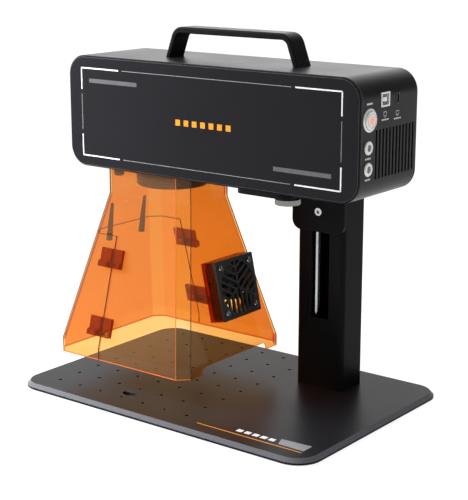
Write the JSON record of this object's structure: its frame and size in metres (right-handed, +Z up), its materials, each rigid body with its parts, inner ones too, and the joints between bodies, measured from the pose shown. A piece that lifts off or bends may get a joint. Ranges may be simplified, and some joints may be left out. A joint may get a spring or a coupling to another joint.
{
  "type": "desktop laser engraver",
  "caption": "Laser marking head with carry handle on a screw-lift column over a drilled base plate, with a flared tinted shield, lift-off shield door and exhaust fan.",
  "frame": {"origin": "middle of the base plate's footprint, on the surface the feet rest on", "axes": "+Z up, +X along the head towards the end with the sockets, -Y towards the operator"},
  "size_m": [0.3272, 0.217, 0.3253],
  "materials": {
    "base_anodised": "grey bead-blasted anodised",
    "column_anodised": "black anodised",
    "casing_coat": "dark grey powder coat",
    "panel_black": "dark grey printed panel",
    "handle_coat": "black coated bar",
    "bracket_coat": "black anodised",
    "orange_acrylic": "clear orange acrylic",
    "black_plastic": "moulded",
    "fan_plastic": "moulded",
    "rubber_feet": "moulded",
    "steel": "ground",
    "black_screws": "black oxide",
    "bright_screws": "zinc plated",
    "bronze": "turned",
    "lens_glass": "coated",
    "mirror_coat": "coated",
    "bare_aluminium": "milled",
    "black_aluminium": "black anodised",
    "circuit_board": "solder mask",
    "light_diffuser": "translucent",
    "magnets": "nickel plated"
  },
  "bodies": {
    "base": {"base_plate": "base_anodised", "base_feet": "rubber_feet", "column_tube": "column_anodised", "column_foot_block": "bare_aluminium", "column_bolts": "black_screws", "column_top_cap": "black_plastic", "guide_rods": "steel", "screw_bearings": "steel"},
    "lead_screw": {"lead_screw": "steel", "hand_wheel": "black_plastic"},
    "thumb_screw": {"thumb_screw": "bare_aluminium"},
    "power_button": {"power_button": "bright_screws", "power_light": "light_diffuser"},
    "first_mirror": {"first_mirror": "mirror_coat", "first_mirror_shaft": "steel"},
    "second_mirror": {"second_mirror": "mirror_coat", "second_mirror_shaft": "steel"},
    "head_fan_rotor": {"head_fan_rotor": "fan_plastic"},
    "exhaust_fan_rotor": {"exhaust_fan_rotor": "fan_plastic"},
    "shield_door": {"shield_door": "orange_acrylic", "door_catch_blocks": "orange_acrylic", "door_catch_magnets": "magnets"},
    "head": {"lift_carriage": "bare_aluminium", "carriage_bushings": "bronze", "lift_nut": "bronze", "head_bracket": "bracket_coat", "bracket_screws": "black_screws", "head_shell": "casing_coat", "front_panel": "panel_black", "rear_panel": "panel_black", "panel_tie_bolts": "black_screws", "chassis_plate": "bare_aluminium", "carry_handle": "handle_coat", "handle_screws": "black_screws", "power_button_bezel": "bright_screws", "dc_jacks": "bright_screws", "usb_b_socket": "steel", "usb_c_socket": "steel", "head_fan_frame": "fan_plastic", "lens_barrel": "black_aluminium", "field_lens": "lens_glass", "galvo_block": "black_aluminium", "first_galvo_motor": "bare_aluminium", "second_galvo_motor": "bare_aluminium", "laser_source": "black_aluminium", "laser_heat_sink": "bare_aluminium", "control_board": "circuit_board", "board_spacers": "steel", "galvo_driver_board": "circuit_board", "shield_body": "orange_acrylic", "shield_flange": "orange_acrylic", "shield_knobs": "black_plastic", "door_guides": "orange_acrylic", "fixed_catch_blocks": "orange_acrylic", "fixed_catch_magnets": "magnets", "exhaust_fan_box": "orange_acrylic", "exhaust_fan_frame": "fan_plastic", "exhaust_grille": "black_plastic", "exhaust_screws": "bright_screws"}
  },
  "joints": [
    {"name": "head_lift", "type": "slide", "parent": "base", "child": "head", "axis": [0, 0, 1], "range_m": [-0.02, 0.045]},
    {"name": "lead_screw_turn", "type": "hinge", "parent": "base", "child": "lead_screw", "pos_m": [0.0685, 0.0663, 0.15], "axis": [0, 0, 1], "range_deg": [-2030, 905]},
    {"name": "thumb_screw_turn", "type": "hinge", "parent": "head", "child": "thumb_screw", "pos_m": [0.084, -0.0274, 0.1905], "axis": [0, 0, 1], "range_deg": [0, 540]},
    {"name": "power_button_press", "type": "slide", "parent": "head", "child": "power_button", "axis": [-1, 0, 0], "range_m": [0, 0.002], "stiffness_N_per_m": 1000, "springref_m": -0.001},
    {"name": "first_mirror_turn", "type": "hinge", "parent": "head", "child": "first_mirror", "pos_m": [-0.06, 0.0107, 0.228], "axis": [0, 0, 1], "range_deg": [-12, 12]},
    {"name": "second_mirror_turn", "type": "hinge", "parent": "head", "child": "second_mirror", "pos_m": [-0.06, -0.0033, 0.228], "axis": [1, 0, 0], "range_deg": [-12, 12]},
    {"name": "head_fan_spin", "type": "hinge", "parent": "head", "child": "head_fan_rotor", "pos_m": [0.1567, 0.005, 0.2373], "axis": [1, 0, 0], "continuous": true},
    {"name": "exhaust_fan_spin", "type": "hinge", "parent": "head", "child": "exhaust_fan_rotor", "pos_m": [-0.00103, -0.0033, 0.0977], "axis": [0.9774, 0, 0.2114], "continuous": true},
    {"name": "shield_door_pull", "type": "slide", "parent": "head", "child": "shield_door", "axis": [-1, 0, 0], "range_m": [0, 0.085]}
  ],
  "couplings": [
    {"joint": "lead_screw_turn", "follows": "head_lift", "rad_per_m": -785.4}
  ]
}
